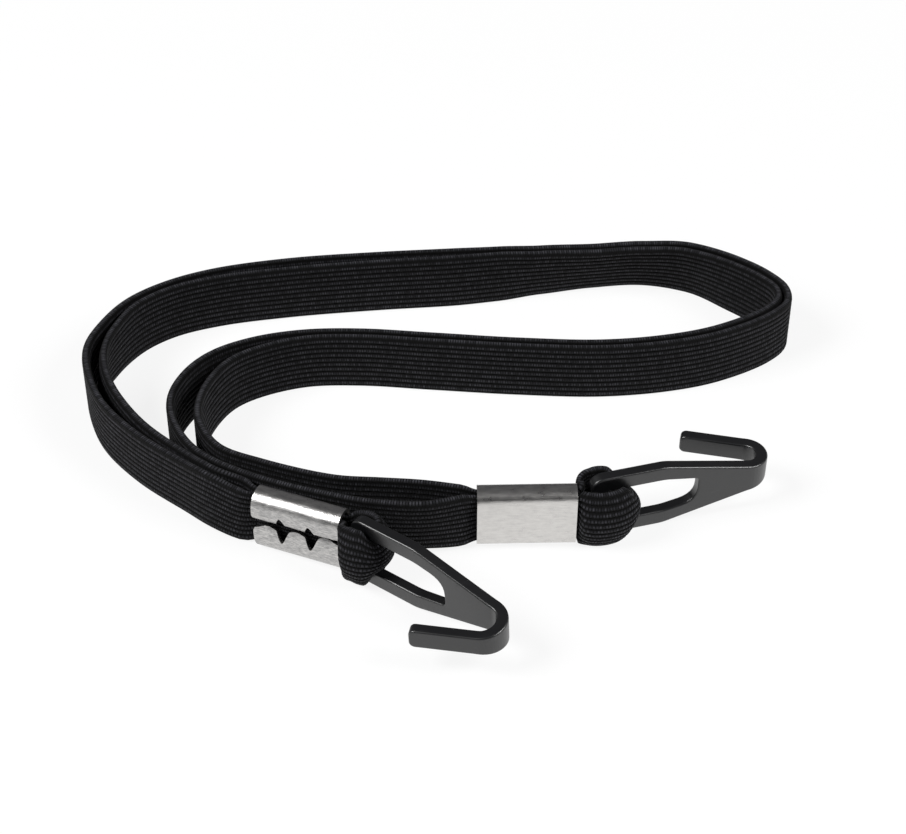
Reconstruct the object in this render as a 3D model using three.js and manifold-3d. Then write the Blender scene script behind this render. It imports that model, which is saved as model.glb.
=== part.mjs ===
// A luggage strap: one flat elastic band, doubled, with a crimped clip and a folded steel hook at each end.
// Millimetres and degrees, +Z up. The strap lies on the floor plane in an S, standing on the band's edge.
import * as THREE from "three";
import { mergeVertices } from "three/addons/utils/BufferGeometryUtils.js";
import Module from "manifold-3d";

const wasm = await Module();
wasm.setup();

// Elastic band: a woven cover round a flat core of rubber threads
const BAND_WIDTH = 13.9;
const BAND_THICKNESS = 1.6;
const COVER_WALL = 0.35;
const CORE_CLEARANCE = 0.1;
const BAND_EDGE = 0.45;
const PLY_GAP = 0.3;
const NODE_GAP = 0.3;

// Band where a clip squeezes it, and where it gathers to pass through a hook's eye
const GRIP_WIDTH = 10.8;
const GRIP_THICKNESS = 1.2;
const GRIP_TAPER = 2.4;
const LOOP_WIDTH = 13.7;
const LOOP_THICKNESS = 1.6;
const LOOP_TAPER = 1.6;
const PLY_LEAD = 3;
const PLY_SPREAD = 1.9;

// Crimp clip, folded from sheet, with its seam on the side that the hooks open to
const CLIP_LENGTH = 19.4;
const CLIP_HEIGHT = 13.8;
const CLIP_SHEET = 0.8;
const CLIP_CLEARANCE = 0.25;
const CLIP_CORNER = 1.2;
const CLIP_SHOULDER = 2.4;
const CLIP_BULGE = 0.6;
const SEAM_GAP = 0.9;
const FLAP_CORNER = 1.8;
const NOTCHES = 2;
const NOTCH_WIDTH = 3.8;
const LONG_NOTCH_DEPTH = 3.8;
const SHORT_NOTCH_DEPTH = 1.3;

// Hook: plate with a slotted eye, a U bend and a return leg that opens outwards
const HOOK_THICKNESS = 2.4;
const EYE_WIDTH = 15.8;
const EYE_LENGTH = 15.8;
const EYE_CORNER = 2.6;
const EYE_BAR = 3.2;
const EYE_ARM = 3.55;
const SLOT_END = 23;
const SLOT_END_WIDTH = 6;
const SLOT_CORNER = 0.8;
const SLOT_ROUND = 3.4;
const NECK_AT = 34.3;
const NECK_WIDTH = 6.6;
const BEND_RADIUS = 2.75;
const LEG_WIDTH = 4.3;
const LEG_LENGTH = 13.2;
const LEG_OPENING = 26.6;
const LEG_CORNER = 1.2;
const HOOK_EDGE = 0.4;

// Where a hook hangs in its loop
const BAR_CLEARANCE = 0.45;
const HOOK_SWING = 45;
const GATHER_START = 12;
const GATHER_END = 48;

// The S that the strap lies in: how far it reaches along x and along y
const LAY_LENGTH = 153.5;
const LAY_DEPTH = 85.1;

// How each end lies: middle of its clip, heading towards the hook, dip of the hook's end and lean of the top.
// Reach and side place the middle of the eye's bar from the clip's mouth, along the clip and towards its seam,
// and turn is the hook's own heading from the clip's. The loop goes round the bar through bearings from the
// clip's heading, each with the slack that it has there. RunY is the listed y of the run beside the clip, which
// the clip keeps its distance from when the lay gets deeper.
const END_A = {
  x: -29.9,
  y: -42.1,
  runY: -37.7,
  heading: -24,
  dip: -2,
  lean: 1,
  reach: 4.1,
  side: 1,
  turn: 13.8,
  turnedOver: true,
  loop: [
    [172, 0.05],
    [150, 0.05],
    [120, 0.05],
    [85, 0.1],
    [48, 0.7],
    [19, 1.5],
    [-1, 1.8],
    [-22, 1.7],
    [-49, 1],
    [-85, 0.2],
    [-122, 0.2],
    [-147, 0.35],
  ],
};
const END_B = {
  x: 14.64,
  y: -39.1,
  runY: -39.1,
  heading: 1.4,
  dip: 0,
  lean: 3,
  reach: 4.49,
  side: 2.35,
  turn: 13.8,
  turnedOver: false,
  loop: [
    [192, 0.06],
    [167, 0.06],
    [142, 0.06],
    [108, 0.2],
    [65, 0.7],
    [36, 2],
    [14, 3.6],
    [-2, 4.4],
    [-19, 3.9],
    [-41, 2.6],
    [-79, 1.6],
    [-113, 1.6],
  ],
};

// Route of each ply from clip A to clip B: x, y, then lean of its top to the right and lift off the floor
const OUTER_ROUTE = [
  [-48.4, -35.1, 1.5, 0.9],
  [-54.5, -29.7, 0, 0.3],
  [-65.1, -20.3],
  [-73.3, -10],
  [-77.7, 1.5],
  [-78.5, 8.5],
  [-76.6, 15.6],
  [-71.8, 24.4],
  [-64.3, 30.9],
  [-53.7, 36],
  [-37, 40],
  [-17, 42.4],
  [0, 43.8],
  [10, 44.7, 2],
  [20, 46.2, 11],
  [32, 48, 18],
  [43.5, 49.1, 18],
  [54.8, 47.2, 11],
  [65.2, 40.3, 2],
  [70.7, 35],
  [73.8, 30],
  [73.8, 25],
  [69.6, 19.9],
  [58, 13.1],
  [46.8, 9.7],
  [32, 7.9],
  [13.7, 8.6],
  [-5, 10.3],
  [-20, 11.7],
  [-32, 11.2],
  [-41.8, 7.7],
  [-47.4, 3.6],
  [-50.9, -2.3],
  [-52.8, -9.5],
  [-52.4, -16],
  [-47.6, -24.6],
  [-38.4, -29.2],
  [-24, -33.6],
  [-15, -34.7, 0, 0.6],
  [-6.5, -36, 2, 1.2],
];
const INNER_ROUTE = [
  [-47, -33.4, 1.5, 0.9],
  [-53, -28, 0, 0.3],
  [-63, -18.7],
  [-70.4, -8.2],
  [-74.4, 1.5],
  [-75.2, 8],
  [-73.8, 14.6],
  [-69.8, 23],
  [-63, 29],
  [-53, 33.2],
  [-37.2, 36.6],
  [-17, 39.3],
  [0, 41],
  [10, 42.5, 2],
  [20.2, 44.1, 11],
  [32, 45.8, 18],
  [43, 46.9, 18],
  [53.7, 45, 11],
  [63.6, 38.4, 2],
  [68.9, 33.5],
  [71.7, 29.6],
  [71.8, 26],
  [68.4, 21.6],
  [57.2, 15],
  [46.3, 11.7],
  [32, 9.9],
  [13.9, 10.6],
  [-4.8, 12.4],
  [-20, 13.8],
  [-32.5, 13.4],
  [-43, 10.8],
  [-51, 6.4],
  [-56, 0.4],
  [-58.8, -8],
  [-57.8, -15.6],
  [-52.4, -25.4],
  [-42, -33],
  [-26, -39.2],
  [-15, -41.6, 6, 0.5],
  [-6, -42.6, 8, 1.1],
];
const SPLIT_POINT = 35;
const LEAN_TENSION = 0.2;
const STATION_TURN = 10;
const STATION_LENGTH = 9;

const radians = THREE.MathUtils.degToRad;

// Stretch that brings the listed points to the named length and depth of the lay
const listed = new THREE.Box2().setFromPoints(OUTER_ROUTE.map(([x, y]) => new THREE.Vector2(x, y)));
const layScale = new THREE.Vector2(LAY_LENGTH, LAY_DEPTH).divide(listed.getSize(new THREE.Vector2()));

// Closed solids as BufferGeometry

function solidFromTriangles(positions, triangles) {
  const geometry = new THREE.BufferGeometry();
  const numbers = positions.flatMap((p) => [p.x, p.y, p.z]);
  geometry.setAttribute("position", new THREE.Float32BufferAttribute(numbers, 3));
  geometry.setIndex(triangles.flat());
  geometry.computeVertexNormals();
  return geometry;
}

// Points of a station's outline in space: a runs to the left of the way, b runs up
function placeOutline(station, outline) {
  return outline.map(([a, b]) =>
    station.at.clone().addScaledVector(station.left, a).addScaledVector(station.up, b),
  );
}

// A closed loft through stations. Each station has one outline, and a second one where the loft is a tube.
function loft(stations) {
  const positions = [];
  const triangles = [];
  const walls = stations[0].outlines.map((outline, layer) => {
    const first = positions.length;
    const count = outline.length;
    for (const station of stations) {
      positions.push(...placeOutline(station, station.outlines[layer]));
    }
    for (let i = 0; i + 1 < stations.length; i++) {
      for (let k = 0; k < count; k++) {
        const p = first + i * count + k;
        const q = first + i * count + ((k + 1) % count);
        const faces = [
          [p, q, q + count],
          [p, q + count, p + count],
        ];
        triangles.push(...(layer === 0 ? faces : faces.map((f) => f.toReversed())));
      }
    }
    return { first, count };
  });
  for (const end of [0, stations.length - 1]) {
    const rings = stations[end].outlines.map((o) => o.map(([a, b]) => new THREE.Vector2(a, b)));
    const index = walls.flatMap(({ first, count }) =>
      Array.from({ length: count }, (_, k) => first + end * count + k),
    );
    for (const face of THREE.ShapeUtils.triangulateShape(rings[0], rings.slice(1))) {
      const cap = face.map((k) => index[k]);
      triangles.push(end === 0 ? cap.toReversed() : cap);
    }
  }
  return solidFromTriangles(positions, triangles);
}

function manifoldOf(geometry) {
  const bare = new THREE.BufferGeometry();
  bare.setAttribute("position", geometry.getAttribute("position").clone());
  if (geometry.index) bare.setIndex(geometry.index.clone());
  const merged = mergeVertices(bare, 1e-4);
  return new wasm.Manifold(
    new wasm.Mesh({
      numProp: 3,
      vertProperties: merged.getAttribute("position").array,
      triVerts: new Uint32Array(merged.index.array),
    }),
  );
}

function cut(geometry, cutters) {
  let solid = manifoldOf(geometry);
  for (const cutter of cutters) solid = solid.subtract(manifoldOf(cutter));
  const mesh = solid.getMesh();
  const result = new THREE.BufferGeometry();
  result.setAttribute("position", new THREE.BufferAttribute(new Float32Array(mesh.vertProperties), 3));
  result.setIndex(new THREE.BufferAttribute(new Uint32Array(mesh.triVerts), 1));
  result.computeVertexNormals();
  return result;
}

// Flat outlines with their corners taken off, counter-clockwise
function bandOutline(width, thickness, edge) {
  const a = thickness / 2;
  const b = width / 2;
  const e = Math.min(edge, 0.45 * thickness);
  return [
    [a, b - e],
    [a - e, b],
    [e - a, b],
    [-a, b - e],
    [-a, e - b],
    [e - a, -b],
    [a - e, -b],
    [a, e - b],
  ];
}

function boxOutline(width, thickness) {
  const a = thickness / 2;
  const b = width / 2;
  return [
    [a, b],
    [-a, b],
    [-a, -b],
    [a, -b],
  ];
}

// The cover's two outlines and the core's one, for a band squeezed to a width and a thickness
function bandSections(width, thickness) {
  const hollow = 2 * COVER_WALL;
  const core = 2 * (COVER_WALL + CORE_CLEARANCE);
  return {
    cover: [bandOutline(width, thickness, BAND_EDGE), boxOutline(width - hollow, thickness - hollow)],
    core: [boxOutline(width - core, thickness - core)],
  };
}

// Stations along a curve that is given by a function of 0 to 1. They stand at every stop and, between
// the stops, closer together where the curve turns.
function planStations(frameAt, stops) {
  const fine = 400;
  const least = 0.6;
  const picked = [frameAt(stops[0])];
  for (let s = 0; s + 1 < stops.length; s++) {
    const start = picked.length;
    let before = picked.at(-1);
    let turn = 0;
    let run = 0;
    for (let i = 1; i <= fine; i++) {
      const frame = frameAt(THREE.MathUtils.lerp(stops[s], stops[s + 1], i / fine));
      turn += frame.ahead.angleTo(before.ahead);
      run += frame.at.distanceTo(before.at);
      before = frame;
      const last = i === fine;
      if (!last && turn < radians(STATION_TURN) && run < STATION_LENGTH) continue;
      if (last && run < least && picked.length > start) picked.pop();
      picked.push(frame);
      turn = 0;
      run = 0;
    }
  }
  return picked;
}

// Crimp clip

// Half of the folded sheet's middle line, from the plain face round to the seam.
// Its x runs across the strap, and its y along the band's width.
function clipHalfLine() {
  const half = CLIP_SHEET / 2;
  const plain = -(PLY_GAP / 2 + GRIP_THICKNESS + CLIP_CLEARANCE + half);
  const top = CLIP_HEIGHT / 2 - half;
  const seam = -plain;
  const peak = seam + CLIP_BULGE;
  const line = new THREE.Path();
  line.moveTo(plain, 0);
  line.lineTo(plain, top - CLIP_CORNER);
  line.quadraticCurveTo(plain, top, plain + CLIP_CORNER, top);
  line.lineTo(seam - CLIP_SHOULDER, top);
  line.quadraticCurveTo(peak, top, peak, top - CLIP_SHOULDER);
  line.bezierCurveTo(peak, 0.4 * top, seam + 0.6 * CLIP_BULGE, half + SEAM_GAP / 2, seam, SEAM_GAP / 2);
  return line;
}

// Points of the half line when its seam end is cut back, the same number for every cut
function clipHalfPoints(line, cutBack) {
  const [flat, corner, top, , whole] = line.getCurveLengths();
  const cornerSteps = 3;
  const flapSteps = 8;
  const distances = [0, flat];
  for (let i = 1; i <= cornerSteps; i++) distances.push(flat + ((corner - flat) * i) / cornerSteps);
  for (let i = 0; i <= flapSteps; i++) distances.push(top + ((whole - cutBack - top) * i) / flapSteps);
  return distances.map((s) => line.getPoint(s / whole));
}

// The closed outline of a sheet of one thickness that follows a middle line
function sheetOutline(middle, thickness) {
  const left = [];
  const right = [];
  middle.forEach((p, i) => {
    const next = middle[Math.min(i + 1, middle.length - 1)];
    const previous = middle[Math.max(i - 1, 0)];
    const ahead = next.clone().sub(previous).normalize();
    const normal = new THREE.Vector2(-ahead.y, ahead.x).multiplyScalar(thickness / 2);
    left.push(p.clone().add(normal).toArray());
    right.push(p.clone().sub(normal).toArray());
  });
  return [...right, ...left.reverse()];
}

// The folded sheet lofted along the clip. Each seam edge is cut back in notches, steep towards the strap and
// slow towards the hook, which leave rounded tabs between them, and its two corners are rounded.
function clipGeometry() {
  const line = clipHalfLine();
  const notchShape = [
    [-0.4, 0],
    [-0.3, 0.2],
    [-0.18, 0.8],
    [0, 1],
    [0.16, 0.8],
    [0.36, 0.28],
    [0.6, 0],
  ];
  const cornerShape = [
    [0, 1],
    [0.1, 0.56],
    [0.4, 0.2],
    [1, 0],
  ];
  const corner = cornerShape.map(([along, depth]) => [
    along * FLAP_CORNER - CLIP_LENGTH / 2,
    depth * FLAP_CORNER,
    depth * FLAP_CORNER,
  ]);
  const cuts = [...corner];
  for (let i = 1; i <= NOTCHES; i++) {
    const x = CLIP_LENGTH * (i / (NOTCHES + 1) - 0.5);
    for (const [across, depth] of notchShape) {
      cuts.push([x + across * NOTCH_WIDTH, depth * LONG_NOTCH_DEPTH, depth * SHORT_NOTCH_DEPTH]);
    }
  }
  cuts.push(...corner.toReversed().map(([x, long, short]) => [-x, long, short]));
  const stations = cuts.map(([x, long, short]) => {
    const upper = clipHalfPoints(line, long);
    const lower = clipHalfPoints(line, short)
      .slice(1)
      .reverse()
      .map((p) => new THREE.Vector2(p.x, -p.y));
    return {
      at: new THREE.Vector3(x, 0, 0),
      left: new THREE.Vector3(0, 1, 0),
      up: new THREE.Vector3(0, 0, 1),
      outlines: [sheetOutline([...lower, ...upper], CLIP_SHEET)],
    };
  });
  return loft(stations);
}

// Hook

// Half width of the hook's blank at a distance along it from the end of the eye
function blankHalfWidth(s, bendEnd, tip) {
  const eye = EYE_WIDTH / 2;
  const neck = NECK_WIDTH / 2;
  const leg = LEG_WIDTH / 2;
  if (s < EYE_CORNER) return eye - EYE_CORNER + Math.sqrt(EYE_CORNER ** 2 - (EYE_CORNER - s) ** 2);
  if (s < EYE_LENGTH) return eye;
  if (s < NECK_AT) return THREE.MathUtils.mapLinear(s, EYE_LENGTH, NECK_AT, eye, neck);
  if (s < bendEnd) return THREE.MathUtils.mapLinear(s, NECK_AT, bendEnd, neck, leg);
  const fromTip = Math.max(tip - s, 0);
  if (fromTip < LEG_CORNER) return leg - LEG_CORNER + Math.sqrt(LEG_CORNER ** 2 - (LEG_CORNER - fromTip) ** 2);
  return leg;
}

// The slot in the plate, as a cutter through its thickness. Its far end is round on one side only.
function slotCutter() {
  const wide = EYE_WIDTH / 2 - EYE_ARM;
  const narrow = SLOT_END_WIDTH / 2;
  const r = SLOT_CORNER;
  const round = Math.min(SLOT_ROUND, SLOT_END - EYE_LENGTH);
  const sideAt = (x) => THREE.MathUtils.mapLinear(x, EYE_LENGTH, SLOT_END, wide, narrow);
  const shape = new THREE.Shape();
  shape.moveTo(EYE_BAR, -wide + r);
  shape.quadraticCurveTo(EYE_BAR, -wide, EYE_BAR + r, -wide);
  shape.lineTo(EYE_LENGTH, -wide);
  shape.lineTo(SLOT_END - round, -sideAt(SLOT_END - round));
  shape.quadraticCurveTo(SLOT_END, -narrow, SLOT_END, -narrow + round);
  shape.lineTo(SLOT_END, narrow - r);
  shape.quadraticCurveTo(SLOT_END, narrow, SLOT_END - r, sideAt(SLOT_END - r));
  shape.lineTo(EYE_LENGTH, wide);
  shape.lineTo(EYE_BAR + r, wide);
  shape.quadraticCurveTo(EYE_BAR, wide, EYE_BAR, wide - r);
  const through = { depth: 2 * HOOK_THICKNESS, bevelEnabled: false, curveSegments: 4 };
  const cutter = new THREE.ExtrudeGeometry(shape, through);
  cutter.translate(0, 0, -HOOK_THICKNESS);
  cutter.rotateX(Math.PI / 2);
  return cutter;
}

// The blank lofted along the folded middle line.
// The eye's bar has its middle at the origin, and the leg lies towards +Y.
function hookGeometry() {
  const bendTurn = Math.PI - radians(LEG_OPENING);
  const bendMiddle = BEND_RADIUS + HOOK_THICKNESS / 2;
  const bendEnd = NECK_AT + bendMiddle * bendTurn;
  const tip = bendEnd + LEG_LENGTH;
  const roundSteps = [0, 0.1, 0.35, 0.65, 1];
  const bendSteps = 8;
  const distances = [
    ...roundSteps.map((k) => k * EYE_CORNER),
    EYE_LENGTH,
    ...Array.from({ length: bendSteps + 1 }, (_, i) => NECK_AT + ((bendEnd - NECK_AT) * i) / bendSteps),
    ...roundSteps.toReversed().map((k) => tip - k * LEG_CORNER),
  ];
  const stations = distances.map((s) => {
    const turned = THREE.MathUtils.clamp((s - NECK_AT) / bendMiddle, 0, bendTurn);
    const straight = Math.min(s, NECK_AT);
    const beyond = Math.max(s - bendEnd, 0);
    const ahead = new THREE.Vector3(Math.cos(turned), Math.sin(turned), 0);
    const at = new THREE.Vector3(
      straight + bendMiddle * Math.sin(turned) - EYE_BAR / 2,
      bendMiddle * (1 - Math.cos(turned)),
      0,
    ).addScaledVector(ahead, beyond);
    const up = new THREE.Vector3(0, 0, 1);
    const left = up.clone().cross(ahead);
    const outline = bandOutline(2 * blankHalfWidth(s, bendEnd, tip), HOOK_THICKNESS, HOOK_EDGE);
    return { at, left, up, outlines: [outline] };
  });
  return cut(loft(stations), [slotCutter().translate(-EYE_BAR / 2, 0, 0)]);
}

// Band loop through a hook's eye

// Distance of a gripped ply's middle from the clip's middle
const GRIP_OFFSET = (PLY_GAP + GRIP_THICKNESS) / 2;

// Farthest corner of the eye's bar from its middle, which the loop clears when the hook swings
const BAR_SWEEP = Math.hypot(EYE_BAR / 2, HOOK_THICKNESS / 2);

// The loop's middle line in plan, from the clip's strap side, round the bar and back to the second leg's end
function loopFrames(lie, legEnd) {
  const bar = new THREE.Vector3(CLIP_LENGTH / 2 + lie.reach, lie.side, 0);
  const radius = BAR_SWEEP + BAR_CLEARANCE + LOOP_THICKNESS / 2;
  const bearingOf = (angle) => new THREE.Vector3(Math.cos(angle), Math.sin(angle), 0);
  const around = lie.loop.map(([bearing, slack]) =>
    bar.clone().addScaledVector(bearingOf(radians(bearing)), radius + slack),
  );
  const mouth = CLIP_LENGTH / 2;
  const legs = (x, side) => new THREE.Vector3(x, side * GRIP_OFFSET, 0);
  const straight = [-mouth, 0.7 * mouth, mouth - 0.5, mouth + 0.5];
  const points = [
    ...straight.map((x) => legs(x, 1)),
    ...around,
    ...straight.slice(1).reverse().map((x) => legs(x, -1)),
    legs(legEnd, -1),
  ];
  const curve = new THREE.CatmullRomCurve3(points, false, "centripetal");
  const step = 1 / (points.length - 1);
  const stops = [0, 2 * step, 3 * step, 1 - 3 * step, 1 - 2 * step, 1];
  return { curve, bar, stops };
}

function smooth(x, from, to) {
  return THREE.MathUtils.smoothstep(x, from, to);
}

function loopGeometries(lie, legEnd) {
  const { curve, bar, stops } = loopFrames(lie, legEnd);
  const slot = EYE_WIDTH - 2 * EYE_ARM - 2 * BAR_CLEARANCE;
  const mouth = CLIP_LENGTH / 2;
  const frameAt = (t) => {
    const at = curve.getPoint(t);
    const ahead = curve.getTangent(t).normalize();
    const up = new THREE.Vector3(0, 0, 1);
    const bearing = Math.atan2(at.y - bar.y, at.x - bar.x) - radians(lie.turn);
    const away = Math.abs(Math.atan2(Math.sin(bearing), Math.cos(bearing)));
    const free = smooth(at.x, mouth, mouth + LOOP_TAPER);
    const spread = smooth(away, radians(HOOK_SWING + GATHER_START), radians(HOOK_SWING + GATHER_END));
    const wide = THREE.MathUtils.lerp(slot, LOOP_WIDTH, spread);
    const width = THREE.MathUtils.lerp(GRIP_WIDTH, wide, free);
    const thickness = THREE.MathUtils.lerp(GRIP_THICKNESS, LOOP_THICKNESS, free);
    return { at, ahead, up, left: up.clone().cross(ahead), sections: bandSections(width, thickness) };
  };
  return bandSolids(planStations(frameAt, stops));
}

// The cover and the core that share a list of stations
function bandSolids(frames) {
  const withOutlines = (name) => frames.map((f) => ({ ...f, outlines: f.sections[name] }));
  return { cover: loft(withOutlines("cover")), core: loft(withOutlines("core")) };
}

// Materials

const clothBlack = { color: 0x17171a, roughness: 0.9, metalness: 0 };
const rubberBlack = { color: 0x0c0c0d, roughness: 0.7, metalness: 0 };
const coatedSteel = { color: 0x2a2b2f, roughness: 0.42, metalness: 0.3 };
const aluminium = { color: 0xd0cdc8, roughness: 0.32, metalness: 1 };

function part(name, geometry, look) {
  const mesh = new THREE.Mesh(geometry, new THREE.MeshStandardMaterial(look));
  mesh.name = name;
  return mesh;
}

// Ends

// A clip, the loop through it and the hook in the loop, in one group that is turned as it lies
// and stood on the lower of the hook and the clip
function makeEnd(letter, lie, legEnd) {
  const end = new THREE.Group();
  const loop = loopGeometries(lie, legEnd);
  const clip = part(`clip_${letter}`, clipGeometry(), aluminium);
  const hook = part(`hook_${letter}`, hookGeometry(), coatedSteel);
  hook.position.set(CLIP_LENGTH / 2 + lie.reach, lie.side, 0);
  hook.rotation.z = radians(lie.turn);
  end.add(
    clip,
    part(`loop_${letter}_cover`, loop.cover, clothBlack),
    part(`loop_${letter}_core`, loop.core, rubberBlack),
    hook,
  );
  const roll = lie.lean + (lie.turnedOver ? 180 : 0);
  const heading = radians(lie.heading);
  const runHeading = Math.atan2(Math.sin(heading) * layScale.y, Math.cos(heading));
  end.rotation.set(radians(roll), radians(lie.dip), runHeading, "ZYX");
  end.position.set(lie.x * layScale.x, lie.y + lie.runY * (layScale.y - 1), 0);
  end.updateMatrixWorld(true);
  const lowest = (piece) => new THREE.Box3().setFromObject(piece, true).min.z;
  end.position.z = -Math.min(lowest(hook), lowest(clip));
  end.updateMatrixWorld(true);
  return end;
}

// Plies

// Height of a leaning ply's middle when its lower edge is on the floor
function standingHeight(lean) {
  return (BAND_WIDTH * Math.cos(lean) + BAND_THICKNESS * Math.abs(Math.sin(lean))) / 2;
}

// A ply's route with its two ends led straight into the clips. The seam side is to the left of the way.
function plyCurves(route, endA, endB, side, endBx) {
  const mouth = CLIP_LENGTH / 2 + NODE_GAP;
  const inClip = (end, x, widen) => end.localToWorld(new THREE.Vector3(x, side * GRIP_OFFSET * widen, 0));
  const places = route.map(([x, y, lean = 0, lift = 0]) => ({
    x: x * layScale.x,
    y: y * layScale.y,
    z: standingHeight(radians(lean)) + lift,
    lean,
  }));
  const atEnd = (point, lean) => ({ x: point.x, y: point.y, z: point.z, lean });
  const leanA = -END_A.lean;
  const leanB = END_B.lean;
  const ordered = [
    atEnd(inClip(endA, -mouth, 1), leanA),
    atEnd(inClip(endA, -mouth - PLY_LEAD, PLY_SPREAD), leanA),
    ...places,
    atEnd(inClip(endB, -mouth - PLY_LEAD, PLY_SPREAD), leanB),
    atEnd(inClip(endB, -mouth, 1), leanB),
  ];
  if (endBx > -mouth) ordered.push(atEnd(inClip(endB, endBx, 1), leanB));
  const points = ordered.map((p) => new THREE.Vector3(p.x, p.y, p.z));
  const leans = ordered.map((p) => new THREE.Vector3(p.lean, 0, 0));
  const middle = new THREE.CatmullRomCurve3(points, false, "centripetal");
  const leaning = new THREE.CatmullRomCurve3(leans, false, "catmullrom", LEAN_TENSION);
  const gripB = ordered.length - (endBx > -mouth ? 2 : 1);
  return { middle, leaning, steps: ordered.length - 1, gripA: 0, gripB };
}

function plyFrames(curves, stops) {
  const { middle, leaning, steps, gripA, gripB } = curves;
  const mouthA = middle.getPoint(gripA / steps);
  const mouthB = middle.getPoint(gripB / steps);
  const frameAt = (t) => {
    const at = middle.getPoint(t);
    const ahead = middle.getTangent(t).normalize();
    const lean = radians(leaning.getPoint(t).x);
    const level = new THREE.Vector3(0, 0, 1).cross(ahead).normalize();
    const upright = ahead.clone().cross(level);
    const up = upright.clone().multiplyScalar(Math.cos(lean)).addScaledVector(level, -Math.sin(lean));
    const left = level.clone().multiplyScalar(Math.cos(lean)).addScaledVector(upright, Math.sin(lean));
    const fromA = t < 0.5 ? at.distanceTo(mouthA) : Infinity;
    const fromB = t < 0.5 ? Infinity : at.distanceTo(mouthB) * (t * steps > gripB ? 0 : 1);
    const free = smooth(Math.min(fromA, fromB), 0, GRIP_TAPER);
    const width = THREE.MathUtils.lerp(GRIP_WIDTH, BAND_WIDTH, free);
    const thickness = THREE.MathUtils.lerp(GRIP_THICKNESS, BAND_THICKNESS, free);
    return { at, ahead, left, up, sections: bandSections(width, thickness) };
  };
  return planStations(frameAt, stops);
}

// One ply as two lengths that meet at a point of the route: the S that stays put, and the run that is pulled
function makePly(name, route, endA, endB, side, endBx) {
  const curves = plyCurves(route, endA, endB, side, endBx);
  const leads = 2;
  const at = (SPLIT_POINT + leads) / curves.steps;
  const gap = NODE_GAP / 2 / curves.middle.getLength();
  const leadA = 1 / curves.steps;
  const mouthB = curves.gripB / curves.steps;
  const leadB = mouthB - leadA;
  const coil = bandSolids(plyFrames(curves, [0, leadA, at - gap]));
  const run = bandSolids(plyFrames(curves, mouthB < 1 ? [at + gap, leadB, mouthB, 1] : [at + gap, leadB, 1]));
  return [
    part(`${name}_coil_cover`, coil.cover, clothBlack),
    part(`${name}_coil_core`, coil.core, rubberBlack),
    part(`${name}_run_cover`, run.cover, clothBlack),
    part(`${name}_run_core`, run.core, rubberBlack),
  ];
}

// Strap

// The inner ply and loop B meet end to end halfway along clip B, where the band's two cut ends are joined
const JOIN_AT = 0;
const endA = makeEnd("a", END_A, -CLIP_LENGTH / 2);
const endB = makeEnd("b", END_B, JOIN_AT);
const strap = new THREE.Group();
strap.add(
  endA,
  endB,
  ...makePly("outer_ply", OUTER_ROUTE, endA, endB, 1, -CLIP_LENGTH / 2 - NODE_GAP),
  ...makePly("inner_ply", INNER_ROUTE, endA, endB, -1, JOIN_AT - NODE_GAP),
);

// The origin is the middle of the strap's footprint, on the floor
const footprint = new THREE.Box3().setFromObject(strap, true);
const middle = footprint.getCenter(new THREE.Vector3());
strap.position.set(-middle.x, -middle.y, -footprint.min.z);
const part3d = new THREE.Group();
part3d.add(strap);

export default part3d;
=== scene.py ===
import math

import bmesh
import bpy
import numpy as np
from mathutils import Euler, Matrix, Vector


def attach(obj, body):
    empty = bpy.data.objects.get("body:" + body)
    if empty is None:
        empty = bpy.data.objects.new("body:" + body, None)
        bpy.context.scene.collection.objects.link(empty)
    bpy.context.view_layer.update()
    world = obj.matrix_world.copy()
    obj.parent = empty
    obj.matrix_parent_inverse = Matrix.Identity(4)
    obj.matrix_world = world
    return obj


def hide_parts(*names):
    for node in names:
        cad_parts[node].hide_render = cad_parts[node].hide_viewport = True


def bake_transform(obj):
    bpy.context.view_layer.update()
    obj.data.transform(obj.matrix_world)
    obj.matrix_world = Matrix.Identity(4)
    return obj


# Looks of a doubled elastic strap: ribbed woven band, crimped clips and coated hooks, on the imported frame.
# Lengths are written in millimetres and turned into metres by MM.
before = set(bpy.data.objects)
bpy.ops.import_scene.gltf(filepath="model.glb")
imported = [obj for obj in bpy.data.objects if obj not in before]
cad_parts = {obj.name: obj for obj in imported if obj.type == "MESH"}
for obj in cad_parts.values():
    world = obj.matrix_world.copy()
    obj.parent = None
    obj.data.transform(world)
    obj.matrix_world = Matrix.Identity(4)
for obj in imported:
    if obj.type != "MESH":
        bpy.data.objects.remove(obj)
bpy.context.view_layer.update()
scene = bpy.context.scene
MM = 0.001

# Band and its ribs. Its edges stay EDGE_SLIM below the ribs' tops. The grip sizes hold at the clips.
BAND_WIDTH = 13.9
BAND_THICKNESS = 1.7
RIBS = 10
RIB_HEIGHT = 0.3
RIB_SHARES = (0.0, 0.1, 0.28, 0.5, 0.72, 0.9)
EDGE_TURNS = (30.0, 60.0, 90.0, 120.0, 150.0)
EDGE_SLIM = 0.08
SELVEDGE = 0.55
RING_STEP = 1.1
GRIP_WIDTH = 10.8
GRIP_THICKNESS = 1.2
PLY_GRIP_WIDTH = 12.6
GRIP_TAPER = 3.4
GRIP_OFFSET = 0.75
HELD_FROM = 0.1
SHARP_ANGLE = 50.0

# Loops through the hooks' eyes. The gather runs in degrees round the bar from the hook's heading.
LOOP_WIDTH = 14.4
LOOP_THICKNESS = 1.7
LOOP_CROWN = 1.0
LOOP_CURL = 1.1
CROWN_START = 0.6
CROWN_END = 2.4
LOOP_TAPER = 1.0
BACK_TAPER = 2.2
LOOP_RADIUS = 3.3
LOOP_STEP = 0.5
LEG_SHARE = 0.7
LEG_MARGIN = 0.5
GATHER_WIDTH = 8.3
GATHER_START = 13.0
GATHER_BACK = 52.0

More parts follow.
